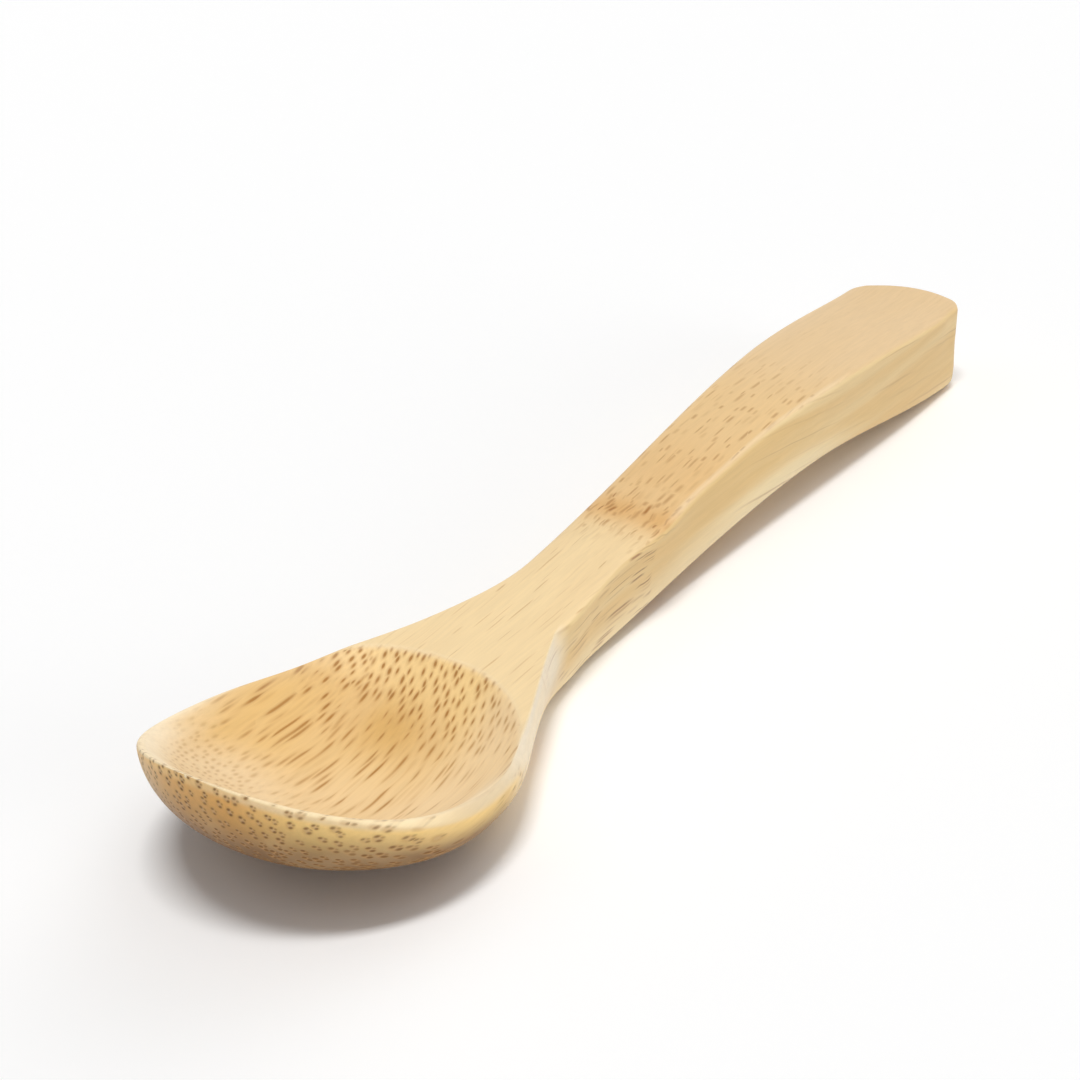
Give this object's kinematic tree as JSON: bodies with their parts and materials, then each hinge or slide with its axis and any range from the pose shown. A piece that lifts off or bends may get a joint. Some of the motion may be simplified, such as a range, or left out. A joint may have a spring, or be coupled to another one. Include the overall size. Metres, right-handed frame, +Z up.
{
  "type": "salt spoon",
  "caption": "Small one-piece bamboo spoon with a round scooped bowl, a waisted neck and a stout arched handle of nearly rectangular section.",
  "frame": {"origin": "on the surface that the spoon rests on, below the middle of its bounding box", "axes": "+X from the tip of the bowl to the end of the handle, +Z up, +Y to the left of +X"},
  "size_m": [0.088, 0.0206, 0.011],
  "materials": {
    "bamboo": "oiled bamboo, sanded smooth: golden tan with darker fibre bundles that show as dashes along the spoon and as dots on the end grain"
  },
  "bodies": {
    "root": {"spoon": "bamboo"}
  },
  "joints": []
}
